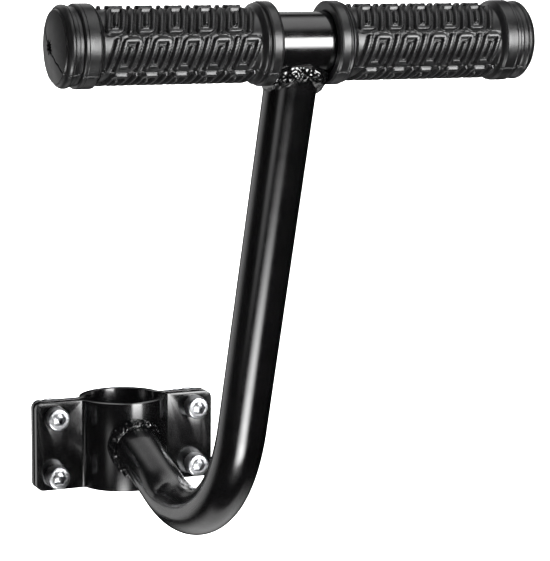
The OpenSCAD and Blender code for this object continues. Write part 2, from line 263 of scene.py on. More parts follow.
def gloss_paint(name, colour, peel=0.012 * MM, coat=0.35, coat_roughness=0.05):
    """Black enamel: a soft clear gloss with waves and specks as high as the peel."""
    paint = Finish(name)
    paint.clouded(paint.noise(60, 2), times(colour, 0.8), times(colour, 1.25))
    paint.fix(IOR=1.5, Coat_Weight=coat, Coat_Roughness=coat_roughness)
    paint.smeared(paint.noise(180), 0.16, 0.24)
    paint.bump(paint.noise(420, 2), peel)
    paint.bump(paint.noise(1500, 2), peel / 4)
    return paint.material


def weld_paint(name, colour):
    """The same enamel where it has run over a weld, wetter and lumpier."""
    return gloss_paint(name, colour, 0.05 * MM, 0.8, 0.03)


def moulded_rubber(name, colour):
    """Matte rubber with a fine grain; the raised tread is painted a little lighter, a painted highlight on its tops."""
    rubber = Finish(name)
    base = rubber.clouded(rubber.noise(140, 4, 0.6), times(colour, 0.85), times(colour, 1.15))
    relief = rubber.nodes.new("ShaderNodeAttribute")
    relief.attribute_name = "relief"
    # Painted highlight: where the relief is raised, the rubber's colour is made 1.35 times lighter to stand in for
    # light on the tread's tops.
    raised = rubber.spread(relief.outputs["Fac"], 0, 1, 0.0, 1.0)
    values = {"Factor": raised, "A": base, "B": (*times(colour, 1.35), 1)}
    rubber.links.new(rubber.put("ShaderNodeMix", values, "Result"), rubber.shader.inputs["Base Color"])
    rubber.fix(IOR=1.5)
    rubber.smeared(rubber.noise(260), 0.3, 0.4)
    rubber.bump(rubber.noise(500), 0.02 * MM)
    rubber.bump(rubber.noise(3500, 3, 0.6), 0.02 * MM)
    return rubber.material


def zinc_plate(name, colour):
    """Bright plated steel with cloudy patches and fine turning marks."""
    zinc = Finish(name)
    zinc.clouded(zinc.noise(400, 4, 0.6), times(colour, 0.82), times(colour, 1.1))
    zinc.fix(Metallic=1.0)
    zinc.smeared(zinc.noise(900), 0.26, 0.42)
    zinc.bump(zinc.noise(4000, 2), 0.008 * MM)
    return zinc.material


MAKERS = {
    "black_paint": ("sprayed_enamel", gloss_paint, "paint"),
    "weld_paint": ("enamel_over_weld", weld_paint, "paint"),
    "grip_rubber": ("moulded_rubber", moulded_rubber, "rubber"),
    "zinc_plate": ("bright_zinc", zinc_plate, "zinc"),
}


def finish_for(slot):
    """The material of one of the record's slots, made when it is first asked for."""
    name, maker, colour = MAKERS[slot]
    made = bpy.data.materials.get(name)
    return made or maker(name, tuple(getattr(bpy.context.scene.handle_finishes, colour)))


# Mesh helpers


def arc(centre, radius, start, end, steps):
    """Points (across, along) of an arc, its angles in degrees."""
    turns = np.radians(np.linspace(start, end, steps + 1))
    return [(centre[0] + radius * math.cos(t), centre[1] + radius * math.sin(t)) for t in turns]


def full_turn(columns):
    """Evenly spaced angles once round."""
    return np.linspace(0, 2 * math.pi, columns, endpoint=False)


def skin(name, rings, closed=False):
    """A closed mesh over rings of points. The rings join end to start, or are capped by fans."""
    count, columns = rings.shape[0], rings.shape[1]
    points = rings.reshape(-1, 3)
    loops = count if closed else count - 1
    ring = np.arange(loops)[:, None]
    column = np.arange(columns)[None, :]
    here, ahead = ring * columns, ((ring + 1) % count) * columns
    beside = (column + 1) % columns
    quads = np.stack([here + column, here + beside, ahead + beside, ahead + column], axis=-1).reshape(-1, 4)
    faces = quads.tolist()
    if not closed:
        middle = len(points)
        points = np.vstack([points, rings[0].mean(axis=0), rings[-1].mean(axis=0)])
        last = (count - 1) * columns
        for j in range(columns):
            k = (j + 1) % columns
            faces.append([middle, k, j])
            faces.append([middle + 1, last + j, last + k])
    mesh = bpy.data.meshes.new(name)
    mesh.from_pydata(points.tolist(), [], faces)
    mesh.update()
    return mesh


def face_out(mesh):
    """Turns all faces of a closed mesh outwards and returns it."""
    shape = bmesh.new()
    shape.from_mesh(mesh)
    bmesh.ops.recalc_face_normals(shape, faces=shape.faces)
    shape.to_mesh(mesh)
    shape.free()
    return mesh


def shade(mesh, sharp=40):
    """Smooth shading with sharp edges above an angle in degrees."""
    mesh.polygons.foreach_set("use_smooth", [True] * len(mesh.polygons))
    mesh.set_sharp_from_angle(angle=math.radians(sharp))
    mesh.update()


def add_piece(name, mesh, slot, nodes, sharp=40):
    """Adds a finished piece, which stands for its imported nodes."""
    shade(mesh, sharp)
    mesh.materials.clear()
    mesh.materials.append(finish_for(slot))
    piece = bpy.data.objects.new(name, mesh)
    bpy.context.scene.collection.objects.link(piece)
    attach(piece, ROOT)
    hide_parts(*nodes)
    return piece


# Geometry Nodes helpers


class NodeTree:
    """A Geometry Nodes tree with named inputs."""

    SOCKETS = {
        "float": "NodeSocketFloat",
        "int": "NodeSocketInt",
        "vector": "NodeSocketVector",
        "object": "NodeSocketObject",
        "material": "NodeSocketMaterial",
    }

    def __init__(self, name, inputs):
        """Makes the tree's interface from its inputs' names and kinds."""
        self.tree = bpy.data.node_groups.new(name, "GeometryNodeTree")
        face = self.tree.interface
        face.new_socket(name="Geometry", in_out="INPUT", socket_type="NodeSocketGeometry")
        for label, kind in inputs.items():
            face.new_socket(name=label, in_out="INPUT", socket_type=self.SOCKETS[kind])
        face.new_socket(name="Geometry", in_out="OUTPUT", socket_type="NodeSocketGeometry")
        self.start = self.tree.nodes.new("NodeGroupInput")

    def given(self, label):
        """An input of the tree."""
        return self.start.outputs[label]

    def put(self, kind, inputs=None, output=0, **settings):
        """Adds a node, sets or links its inputs and returns one of its outputs."""
        node = self.tree.nodes.new(kind)
        for key, value in settings.items():
            setattr(node, key, value)
        for key, value in (inputs or {}).items():
            for item in value if isinstance(value, list) else [value]:
                if isinstance(item, bpy.types.NodeSocket):
                    self.tree.links.new(item, node.inputs[key])
                else:
                    node.inputs[key].default_value = item
        return None if output is None else node.outputs[output]

    def maths(self, operation, first, second=0.0):
        """A sum of one or two numbers."""
        return self.put("ShaderNodeMath", {0: first, 1: second}, operation=operation)

    def end(self, geometry, material):
        """Realises what is left of instances, sets the material and ends the tree."""
        real = self.put("GeometryNodeRealizeInstances", {"Geometry": geometry})
        painted = self.put("GeometryNodeSetMaterial", {"Geometry": real, "Material": material})
        self.put("NodeGroupOutput", {"Geometry": painted}, output=None)


def grow(name, seed_mesh, tree, values):
    """Runs a tree on a seed mesh and returns the result as a plain mesh."""
    seed = bpy.data.objects.new(name + "_seed", seed_mesh)
    bpy.context.scene.collection.objects.link(seed)
    modifier = seed.modifiers.new("Grow", "NODES")
    modifier.node_group = tree.tree
    for item in tree.tree.interface.items_tree:
        if item.in_out == "INPUT" and item.name in values:
            modifier[item.identifier] = values[item.name]
    bpy.context.view_layer.update()
    graph = bpy.context.evaluated_depsgraph_get()
    grown = bpy.data.meshes.new_from_object(seed.evaluated_get(graph), depsgraph=graph)
    grown.name = name
    bpy.data.objects.remove(seed)
    return grown


def points_mesh(name, points, edges=()):
    """A mesh of loose points, or of points joined in a line."""
    mesh = bpy.data.meshes.new(name)
    mesh.from_pydata([tuple(p) for p in points], list(edges), [])
    return mesh


# Tubes


def leg_top(sizes, channel_radius):
    """Where the lower leg's axis meets the post's axis, so that it crosses the channel's back at mid height."""
    return Vector((0, 0, channel_radius * math.tan(sizes.tilt)))


def stem_route(sizes, start):
    """Knee and end at the crossbar's axis, with the lower leg's direction. The legs meet at a right angle."""
    lower = Vector((0, -math.cos(sizes.tilt), -math.sin(sizes.tilt)))
    end = Vector((0, BAR_AT.y, BAR_AT.z))
    knee = start + lower * (end - start).dot(lower)
    return knee, end, lower


def stem_tree():
    """Sweeps a tube along a filleted line and copes both ends."""
    tree = NodeTree(
        "Coped bent tube",
        {
            "Radius": "float",
            "Wall": "float",
            "Bend radius": "float",
            "Bar radius": "float",
            "Channel radius": "float",
            "Bar place": "vector",
            "Paint": "material",
        },
    )
    line = tree.put("GeometryNodeMeshToCurve", {"Mesh": tree.given("Geometry")})
    bent = tree.put(
        "GeometryNodeFilletCurve", {"Curve": line, "Radius": tree.given("Bend radius"), "Count": 90}, mode="POLY"
    )
    run = tree.put("GeometryNodeResampleCurve", {"Curve": bent, "Length": 1.6 * MM}, mode="LENGTH")
    outside = tree.given("Radius")
    inside = tree.maths("SUBTRACT", outside, tree.given("Wall"))
    tubes = []
    for radius, sides in ((outside, 128), (inside, 48)):
        ring = tree.put("GeometryNodeCurvePrimitiveCircle", {"Resolution": sides, "Radius": radius})
        tubes.append(
            tree.put("GeometryNodeCurveToMesh", {"Curve": run, "Profile Curve": ring, "Fill Caps": True})
        )
    size = {"Vertices": 160, "Depth": 80 * MM}
    bar = tree.put("GeometryNodeMeshCylinder", {**size, "Radius": tree.given("Bar radius")})
    laid = tree.put(
        "GeometryNodeTransform",
        {"Geometry": bar, "Translation": tree.given("Bar place"), "Rotation": (0, math.pi / 2, 0)},
    )
    channel = tree.put("GeometryNodeMeshCylinder", {**size, "Radius": tree.given("Channel radius")})
    coped = tree.put(
        "GeometryNodeMeshBoolean", {"Mesh 1": tubes[0], "Mesh 2": [tubes[1], laid, channel]}, operation="DIFFERENCE"
    )
    tree.end(coped, tree.given("Paint"))
    return tree


def press_dent(mesh, sizes, knee, lower):
    """Flattens a small spot on the lower leg's side, at the inside of the bend."""
    centre = knee - lower * sizes.bend_radius * 0.86 + DENT_SIDE * sizes.stem_radius
    reach, width = 9 * MM, 4.2 * MM
    for vertex in mesh.vertices:
        away = vertex.co - centre
        along = away.dot(lower)
        across = (away - lower * along).length
        near = math.exp(-((along / reach) ** 2) - (across / width) ** 2)
        if near > 0.01:
            wave = 1.0 + 0.35 * math.cos(along / (3.2 * MM))
            vertex.co -= DENT_SIDE.normalized() * sizes.dent_depth * near * wave


def crossbar_mesh(sizes):
    """The crossbar: a plain tube along X with both ends open."""
    outer, inner = sizes.bar_radius, sizes.bar_radius - sizes.bar_wall
    steps = np.linspace(BAR_LOW.x, BAR_HIGH.x, 60)
    outline = [(outer, x) for x in steps] + [(inner, x) for x in steps[::-1]]
    angles = full_turn(160)
    rings = np.zeros((len(outline), len(angles), 3))
    for i, (radius, x) in enumerate(outline):
        rings[i, :, 0] = x
        rings[i, :, 1] = BAR_AT.y + radius * np.cos(angles)
        rings[i, :, 2] = BAR_AT.z + radius * np.sin(angles)
    return face_out(skin("crossbar", rings, closed=True))


class HANDLE_OT_tubes(bpy.types.Operator):
    """Make the crossbar and the bent stem"""

    bl_idname = "handle.make_tubes"
    bl_label = "Tubes"

    def execute(self, context):
        sizes = context.scene.handle_tubes
        channel_radius = context.scene.handle_clamp.channel_radius
        start = leg_top(sizes, channel_radius)
        knee, end, lower = stem_route(sizes, start)
        seed = points_mesh("stem_line", (start, knee, end), ((0, 1), (1, 2)))
        values = {
            "Radius": sizes.stem_radius,
            "Wall": sizes.stem_wall,
            "Bend radius": sizes.bend_radius,
            "Bar radius": sizes.bar_radius,
            "Channel radius": channel_radius,
            "Bar place": tuple(end),
            "Paint": finish_for("black_paint"),
        }
        stem = grow("stem", seed, stem_tree(), values)
        press_dent(stem, sizes, knee, lower)
        add_piece("bent_stem", stem, "black_paint", ["stem_tube"], 50)
        add_piece("crossbar", crossbar_mesh(sizes), "black_paint", ["crossbar_tube"], 50)
        return {"FINISHED"}


# Welds


def weld_lumps(turn, side, sizes, seed):
    """Height of the weld's lumps, about 1, at a turn round the joint and a place from toe to end."""
    drop = sizes.ripples * turn / (2 * math.pi) + 0.55 * math.sin(math.pi * side)
    ridge = abs(math.sin(math.pi * drop)) ** 0.6
    spot = Vector((4.2 * math.cos(turn) + seed, 4.2 * math.sin(turn), 2.1 * side + sizes.seed))
    return 0.72 + 0.3 * ridge + 0.55 * noise.noise(spot) + 0.22 * noise.noise(spot * 2.7)


def waver(turn, seed, rate=2.0):
    """A slow swing between -1 and 1 round the joint."""
    return noise.noise(Vector((rate * math.cos(turn), rate * math.sin(turn), seed)))


def ring_of_weld(name, section, turns, place):
    """A closed ring of weld. section gives its (radius, height) points at a turn."""
    columns = [section(2 * math.pi * i / turns) for i in range(turns)]
    rings = np.zeros((turns, len(columns[0]), 3))
    for i, column in enumerate(columns):
        turn = 2 * math.pi * i / turns
        for j, (radius, height) in enumerate(column):
            rings[i, j] = (radius * math.cos(turn), radius * math.sin(turn), height)
    mesh = skin(name, rings, closed=True)
    mesh.transform(place)
    return face_out(mesh)


def bar_weld_mesh(sizes, tubes, place):
    """The bar's weld: a short toe on the bar and a long lumpy run down the stem."""
    points = 26
    root = tubes.stem_radius + WELD_SEAT

    def on_bar(radius, turn):
        """Height of the bar's skin at a radius from the stem's axis."""
        return math.sqrt((tubes.bar_radius + WELD_SEAT) ** 2 - (radius * math.sin(turn)) ** 2)

    def section(turn):
        """The weld's outline at a turn, from its root over the toe down to its end."""
        room = sizes.side_room / max(abs(math.cos(turn)), 0.01) - root
        shoulder = max(0.0, math.sin(turn)) * math.cos(turn) ** 2 * 3.6
        toe = sizes.bar_toe * (1 - 0.5 * math.sin(turn) ** 2 + shoulder) * (1 + 0.5 * waver(turn, 3.0, 4.0))
        toe = min(toe, room)
        toe_height = on_bar(root + toe, turn)
        end = on_bar(root, turn) + sizes.bar_length * (1 + 0.42 * waver(turn, 8.0, 2.6))
        found = [(radius, on_bar(radius, turn)) for radius in (root, root + toe / 2, root + toe)]
        for k in range(1, points):
            side = k / points
            swell = math.sin(math.pi * side) ** 0.75 * weld_lumps(turn, side, sizes, 0.0)
            out = min(toe * (1 - side) + sizes.bar_bulge * swell, room)
            found.append((root + out, toe_height + (end - toe_height) * side))
        return found + [(root, end)]

    return ring_of_weld("bar_weld", section, 320, place)


def plate_weld_mesh(sizes, tubes, channel, place):
    """The plate's weld: an even rippled bead between the stem and the channel."""
    points = 18
    root = tubes.stem_radius + WELD_SEAT

    def on_channel(radius, turn):
        """Height of the channel's back at a radius from the leg's axis."""
        back = math.sqrt((channel + WELD_SEAT) ** 2 - (radius * math.cos(turn)) ** 2)
        return (back - radius * math.sin(turn) * math.sin(tubes.tilt)) / math.cos(tubes.tilt)

    def section(turn):
        """The bead's outline at a turn: along the plate, then over its heap to the leg."""
        width = sizes.plate_width * (1 + 0.2 * waver(turn, 11.0))
        length = sizes.plate_length * (1 + 0.25 * waver(turn, 16.0))
        offsets = [(0.0, 0.0), (width / 2, 0.0), (width, 0.0)]
        for k in range(1, points):
            angle = math.pi / 2 * k / points
            heap = 1 + (weld_lumps(turn, k / points, sizes, 11.0) - 0.9) * 0.8 * math.sin(2 * angle)
            offsets.append((width * math.cos(angle) * heap, length * math.sin(angle) * heap))
        offsets.append((0.0, length))
        return [(root + out, on_channel(root + out, turn) + down) for out, down in offsets]

    return ring_of_weld("plate_weld", section, 300, place)


def turned_place(centre, turn):
    """A place at a centre, turned round X."""
    return Matrix.Translation(centre) @ Euler((turn, 0, 0)).to_matrix().to_4x4()


class HANDLE_OT_welds(bpy.types.Operator):
    """Make the welds at the crossbar and at the clamp"""

    bl_idname = "handle.make_welds"
    bl_label = "Welds"

    def execute(self, context):
        tubes, sizes = context.scene.handle_tubes, context.scene.handle_welds
        channel = context.scene.handle_clamp.channel_radius
        at_bar = turned_place(BAR_AT, math.pi + tubes.tilt)
        at_post = turned_place(leg_top(tubes, channel), math.pi / 2 + tubes.tilt)
        upper = bar_weld_mesh(sizes, tubes, at_bar)
        lower = plate_weld_mesh(sizes, tubes, channel, at_post)
        add_piece("weld_at_bar", upper, "weld_paint", ["bar_weld"], 180)
        add_piece("weld_at_clamp", lower, "weld_paint", ["plate_weld"], 180)
        return {"FINISHED"}


# Clamp plates


def eased_copy(node, width):
    """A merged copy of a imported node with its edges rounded."""
    shape = bmesh.new()
    shape.from_mesh(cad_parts[node].data)
    bmesh.ops.remove_doubles(shape, verts=shape.verts, dist=0.002 * MM)
    bmesh.ops.dissolve_limit(
        shape, angle_limit=math.radians(0.5), verts=shape.verts, edges=shape.edges, use_dissolve_boundaries=False
    )
    mesh = bpy.data.meshes.new(node + "_eased")
    shape.to_mesh(mesh)
    shape.free()
    carrier = bpy.data.objects.new(mesh.name, mesh)
    bpy.context.scene.collection.objects.link(carrier)
    bevel = carrier.modifiers.new("Edges", "BEVEL")
    bevel.width = width
    bevel.segments = 3
    bevel.limit_method = "ANGLE"
    bevel.angle_limit = math.radians(50)
    graph = bpy.context.evaluated_depsgraph_get()
    eased = bpy.data.meshes.new_from_object(carrier.evaluated_get(graph), depsgraph=graph)
    bpy.data.objects.remove(carrier)
    return eased


class HANDLE_OT_clamp(bpy.types.Operator):
    """Make the two pressed clamp plates"""

    bl_idname = "handle.make_clamp"
    bl_label = "Clamp plates"

    def execute(self, context):
        width = context.scene.handle_clamp.edge_bevel
        for node in ("rear_clamp_plate", "front_clamp_plate"):
            add_piece(node.replace("clamp_plate", "plate"), eased_copy(node, width), "black_paint", [node], 35)
        return {"FINISHED"}


# Grips


def box_edge(u, v, half_u, half_v, corner):
    """Signed distance to a rectangle with round corners."""
    du = np.abs(u) - (half_u - corner)
    dv = np.abs(v) - (half_v - corner)
    outside = np.hypot(np.maximum(du, 0), np.maximum(dv, 0))
    return outside + np.minimum(np.maximum(du, dv), 0) - corner


def tread_relief(x, angle, sizes, middle, count):
    """Height of the tread at places x along and angles round the bar: 1 on a raised
    line, 0 on the barrel and a little less in the moat beside a line."""
    tread_radius = sizes.barrel_radius + sizes.tread_height
    step = 2 * math.pi / sizes.tread_rows
    half = tread_radius * math.sin(step / 2) - sizes.row_gap / 2
    turn = (angle - sizes.row_phase) / step
    row = np.floor(turn)
    across = tread_radius * np.sin((turn - row - 0.5) * step)
    flip = np.where(row.astype(int) % 2 == 0, 1.0, -1.0)
    u = (x - middle) * flip
    v = across * flip
    u = u - v * math.tan(sizes.slant)
    span = count * sizes.motif_pitch
    inside = (u > -span / 2) & (u < span / 2)
    local = np.mod(u + span / 2, sizes.motif_pitch)
    line = sizes.line_width
    centre = sizes.frame_width / 2 + line / 2
    edge = np.abs(box_edge(local - centre, v, (sizes.frame_width - line) / 2, half - line / 2, line * 0.8)) - line / 2
    short = box_edge(local - centre, v, line / 2, half / 2, line / 2 * 0.98)
    beside = sizes.frame_width + line / 2 + (sizes.motif_pitch - sizes.frame_width) / 2
    long = box_edge(local - beside, v, line / 2, half, line / 2 * 0.98)
    away = np.minimum(np.minimum(edge, short), long)
    flank, moat_at, moat_width, moat_depth = 0.34 * MM, 0.42 * MM, 0.26 * MM, 0.34
    rise = np.clip(0.5 - away / flank, 0, 1)
    moat = moat_depth * np.exp(-(((away - moat_at) / moat_width) ** 2))
    return np.where(inside, rise * rise * (3 - 2 * rise) - moat, 0.0)


def notch(radius, along, depth, half):
    """A fine line cut round a ring."""
    floor = radius - depth
    return [(radius, along - half), (floor, along - half * 0.3), (floor, along + half * 0.3), (radius, along + half)]


def held_flat(stations):
    """Adds stations close to both ends of each long run, so that smooth shading keeps it flat."""
    long_run, hold = 0.45 * MM, 0.09 * MM
    found = [stations[0]]
    for here, ahead in zip(stations, stations[1:]):
        gap = math.dist(here[:2], ahead[:2])
        if gap > long_run and here[2] == ahead[2] == 0:
            for share in (hold / gap, 1 - hold / gap):
                found.append((here[0] + (ahead[0] - here[0]) * share, here[1] + (ahead[1] - here[1]) * share, 0))
        found.append(ahead)
    return found


def barrel_span(sizes, length):
    """Where the barrel starts and ends along a grip, from its open end."""
    start = sizes.bead_width + sizes.groove_width + sizes.ramp_width
    return start, length - sizes.end_ring_width - sizes.groove_width - sizes.ring_width


def open_end(s, bore):
    """Stations (radius, along) from the bore over the bead and its groove to the barrel."""
    r, width = s.flange_radius, s.bead_width
    found = [(bore, 0.9 * MM), (bore + 0.3 * MM, 0.25 * MM), (bore + 0.8 * MM, 0.02 * MM), (r - 0.75 * MM, 0.0)]
    found += [(r - 0.5 * MM, 0.05 * MM), (r - 0.42 * MM, 0.3 * MM), (r - 0.2 * MM, 0.3 * MM), (r - 0.06 * MM, 0.5 * MM)]
    found += notch(r, 0.95 * MM, 0.12 * MM, 0.14 * MM)
    found += notch(r, width - 0.6 * MM, 0.14 * MM, 0.16 * MM)
    found += [(r, width - 0.3 * MM), (r - 0.1 * MM, width - 0.08 * MM), (r - 0.3 * MM, width)]
    floor = r - 0.85 * MM
    found += [(floor, width + 0.25 * MM), (floor, width + 0.6 * MM)]
    found += [(floor + 0.32 * MM, width + 0.85 * MM), (floor + 0.3 * MM, width + s.groove_width)]
    rise = floor + 0.3 * MM - s.barrel_radius
    for t in (0.15, 0.3, 0.45, 0.6, 0.75, 0.9, 1.0):
        radius = s.barrel_radius + rise * (0.5 + 0.5 * math.cos(math.pi * t))
        found.append((radius, width + s.groove_width + s.ramp_width * t))
    return found


def closed_end(s, length):
    """Stations (radius, along) from the barrel over both rings to the face's rim."""
    ring_start = barrel_span(s, length)[1]
    r, low, high = s.ring_radius, ring_start + 1.7 * MM, ring_start + s.ring_width
    rise = r - 0.25 * MM - s.barrel_radius
    found = []
    for t in np.linspace(0, 1, 8):
        radius = s.barrel_radius + rise * (0.5 - 0.5 * math.cos(math.pi * t))
        found.append((radius, ring_start + 1.5 * MM * t))
    found += notch(r - 0.12 * MM, low + 0.1 * MM, 0.14 * MM, 0.16 * MM)
    found += [(r - 0.02 * MM, low + 0.5 * MM), (r, low + 1.2 * MM)]
    found += notch(r, high - 1.5 * MM, 0.14 * MM, 0.16 * MM)
    found += [(r, high - 0.5 * MM), (r - 0.15 * MM, high - 0.15 * MM), (r - 0.4 * MM, high)]
    r, first = s.end_ring_radius, length - s.end_ring_width
    found += [(s.groove_radius, first - s.groove_width + 0.1 * MM), (s.groove_radius, first - 0.15 * MM)]
    found += [(r - 0.75 * MM, first + 0.1 * MM), (r - 0.55 * MM, first + 0.4 * MM), (r - 0.25 * MM, first + 1.7 * MM)]
    found += notch(r - 0.05 * MM, first + 2.0 * MM, 0.15 * MM, 0.17 * MM)
    found += [(r, first + 2.5 * MM)]
    rim, edge = r - s.end_round, length - s.end_dome
    found += arc((rim, edge - s.end_round - 0.6 * MM), s.end_round, 0, 72, 9)
    found += [(rim + 0.46 * MM, edge - 0.7 * MM), (rim + 0.38 * MM, edge - 0.5 * MM)]
    found += [(rim + 0.33 * MM, edge - 0.2 * MM), (rim + 0.22 * MM, edge - 0.04 * MM)]
    return found


def grip_outline(s, length, bore):
    """Stations (radius, along, zone) of a grip from the open end's bore, over the
    outside and back through the vent. Zone 1 is the tread, 2 the closed end's
    face and 3 the vent's lip."""
    found = [(radius, along, 0) for radius, along in open_end(s, bore)]
    start, end = barrel_span(s, length)
    steps = int((end - start) / (0.3 * MM))
    found += [(s.barrel_radius, along, 1) for along in np.linspace(start, end, steps + 1)[1:-1]]
    found += [(radius, along, 0) for radius, along in closed_end(s, length)]
    rim, vent = s.end_ring_radius - s.end_round, s.vent_radius
    dome = (rim * rim + s.end_dome**2) / (2 * s.end_dome)
    for radius in np.linspace(rim, vent + 1.1 * MM, 28):
        found.append((radius, length - dome + math.sqrt(dome * dome - radius**2), 2))
    tip = length - dome + math.sqrt(dome * dome - vent**2)
    found += [(vent + 0.6 * MM, tip - 0.05 * MM, 3), (vent + 0.3 * MM, tip - 0.35 * MM, 3)]
    found += [(vent + 0.1 * MM, tip - 1.1 * MM, 3), (vent, length - s.end_wall, 0), (bore, length - s.end_wall, 0)]
    return held_flat(found)


def frayed_edge(angles, side):
    """How far the vent's lip strays at each angle, in steps of 0.3 mm."""
    found = np.zeros(len(angles))
    for rate, height in ((3, 6.5), (9, 3.5)):
        found += [height * noise.noise(Vector((rate * math.cos(a), rate * math.sin(a), side))) for a in angles]
    return np.clip(found, -2.0, 3.0)


def grip_mesh(name, sizes, side, bore):
    """One grip: a turned outline with the tread raised on its barrel and the
    mould's parting line cut along it and across its closed end."""
    low, high = box_of("left_grip" if side < 0 else "right_grip")
    length = high.x - low.x
    start = high.x if side < 0 else low.x
    outline = grip_outline(sizes, length, bore)
    columns = sizes.columns
    parting = sizes.row_phase - 2 * math.pi / sizes.tread_rows
    elevation = parting + full_turn(columns)
    barrel_from, barrel_to = barrel_span(sizes, length)
    count = int((barrel_to - barrel_from) / sizes.motif_pitch)
    middle = start + side * (barrel_from + barrel_to) / 2
    rings = np.zeros((len(outline), columns, 3))
    relief = np.zeros((len(outline), columns))
    frayed = frayed_edge(elevation, side)
    for i, (radius, along, zone) in enumerate(outline):
        x = np.full(columns, start + side * along)
        r = np.full(columns, radius)
        sway = 0.5 * MM * noise.noise(Vector((radius * 420, side * 3.0, 0.5))) if zone == 2 else 0.0
        line = np.exp(-(((radius * np.sin(elevation - parting) + sway) / (0.2 * MM)) ** 2))
        if zone == 1:
            relief[i] = tread_relief(x, elevation, sizes, middle, count)
            r += relief[i] * sizes.tread_height
        if zone == 2:
            x -= side * 0.55 * MM * line
        elif radius > sizes.barrel_radius - 0.1 * MM:
            r -= 0.3 * MM * line
        if zone == 3:
            r += 0.3 * MM * frayed
            x -= side * 0.3 * MM * line
        rings[i, :, 0] = x
        rings[i, :, 1] = BAR_AT.y - r * np.cos(elevation)
        rings[i, :, 2] = BAR_AT.z + r * np.sin(elevation)
    mesh = skin(name, rings, closed=True)
    # The relief also drives the rubber's painted highlight on the raised tread.
    sheen_relief = mesh.attributes.new("relief", "FLOAT", "POINT")
    sheen_relief.data.foreach_set("value", relief.reshape(-1))
    return face_out(mesh)


class HANDLE_OT_grips(bpy.types.Operator):
    """Make the two moulded grips with their raised tread"""

    bl_idname = "handle.make_grips"
    bl_label = "Grips"

    def execute(self, context):
        sizes = context.scene.handle_grips
        bore = context.scene.handle_tubes.bar_radius
        for name, side in (("left_grip", -1), ("right_grip", 1)):
            mesh = grip_mesh(name, sizes, side, bore)
            add_piece("moulded_" + name, mesh, "grip_rubber", [name], 60)
        return {"FINISHED"}


# Fasteners


def hex_radius(turns, flats):
    """Radius of a hexagon's outline at each turn."""
    sixth = math.pi / 3
    return flats / 2 / np.cos(np.mod(turns, sixth) - sixth / 2)


def solid_of_rings(name, stations, closed=False):
    """A solid up Z from stations (radius or radii, height), joined end to start or capped."""
    turns = full_turn(FASTENER_COLUMNS)
    rings = np.zeros((len(stations), FASTENER_COLUMNS, 3))
    for i, (radius, height) in enumerate(stations):
        rings[i, :, 0] = radius * np.cos(turns)
        rings[i, :, 1] = radius * np.sin(turns)
        rings[i, :, 2] = height
    return face_out(skin(name, rings, closed))


def head_mesh(sizes):
    """A socket head: knurled side, bevelled top and hex socket, its seat at Z = 0."""
    turns = full_turn(FASTENER_COLUMNS)
    r, h = sizes.head_radius, sizes.head_height
    knurl = r - 0.16 * MM * np.abs(np.sin(turns * FASTENER_COLUMNS / 8))
    socket = hex_radius(turns, sizes.socket_flats)
    floor = -h + sizes.socket_depth
    stations = [
        (0.3 * r, 0.0),
        (r - 0.3 * MM, 0.0),
        (r - 0.1 * MM, -0.15 * MM),
        (knurl, -0.6 * MM),
        (knurl, -h + 1.3 * MM),
        (r - 0.05 * MM, -h + 1.0 * MM),
        (r - 0.1 * MM, -h + 0.6 * MM),
        (r - 0.4 * MM, -h + 0.2 * MM),
        (r - 0.8 * MM, -h),
        (socket + 0.25 * MM, -h),
        (socket, -h + 0.25 * MM),
        (socket, floor),
        (0.3 * sizes.socket_flats, floor + 0.6 * MM),
    ]
    return solid_of_rings("socket_head", stations)


def screw_tree():
    """Sets a head and a threaded shank on each point."""
    tree = NodeTree(
        "Socket screws",
        {
            "Diameter": "float",
            "Pitch": "float",
            "Depth": "float",
            "Length": "float",
            "Head": "object",
            "Facing": "vector",
            "Finish": "material",
        },
    )
    length, pitch = tree.given("Length"), tree.given("Pitch")
    radius = tree.maths("MULTIPLY", tree.given("Diameter"), 0.5)
    rod = tree.put(
        "GeometryNodeMeshCylinder",
        {"Vertices": 40, "Side Segments": 200, "Radius": radius, "Depth": length},
        fill_type="TRIANGLE_FAN",
    )
    place = tree.put("GeometryNodeInputPosition")
    parts = tree.tree.nodes.new("ShaderNodeSeparateXYZ")
    tree.tree.links.new(place, parts.inputs[0])
    x, y, z = parts.outputs
    turn = tree.maths("DIVIDE", tree.maths("ARCTAN2", y, x), 2 * math.pi)
    climb = tree.maths("SUBTRACT", tree.maths("DIVIDE", z, pitch), turn)
    wave = tree.maths("PINGPONG", climb, 0.5)
    cut = tree.maths("MULTIPLY", wave, tree.maths("MULTIPLY", tree.given("Depth"), 2.0))
    to_tip = tree.maths("SUBTRACT", tree.maths("MULTIPLY", length, 0.5), z)
    taper = tree.maths("MAXIMUM", tree.maths("SUBTRACT", 0.7 * MM, to_tip), 0.0)
    inward = tree.maths("MULTIPLY", tree.maths("ADD", cut, taper), -1.0)
    flat = tree.put("ShaderNodeCombineXYZ", {0: x, 1: y})
    outward = tree.put("ShaderNodeVectorMath", {0: flat}, operation="NORMALIZE")
    scaled = tree.tree.nodes.new("ShaderNodeVectorMath")
    scaled.operation = "SCALE"
    tree.tree.links.new(outward, scaled.inputs[0])
    tree.tree.links.new(inward, scaled.inputs["Scale"])
    threaded = tree.put("GeometryNodeSetPosition", {"Geometry": rod, "Offset": scaled.outputs[0]})
    lift = tree.put("ShaderNodeCombineXYZ", {2: tree.maths("MULTIPLY", length, 0.5)})
    raised = tree.put("GeometryNodeTransform", {"Geometry": threaded, "Translation": lift})
    head = tree.put("GeometryNodeObjectInfo", {"Object": tree.given("Head")}, output="Geometry")
    whole = tree.put("GeometryNodeJoinGeometry", {"Geometry": [raised, head]})
    placed = tree.put(
        "GeometryNodeInstanceOnPoints",
        {"Points": tree.given("Geometry"), "Instance": whole, "Rotation": tree.given("Facing")},
    )
    tree.end(placed, tree.given("Finish"))
    return tree


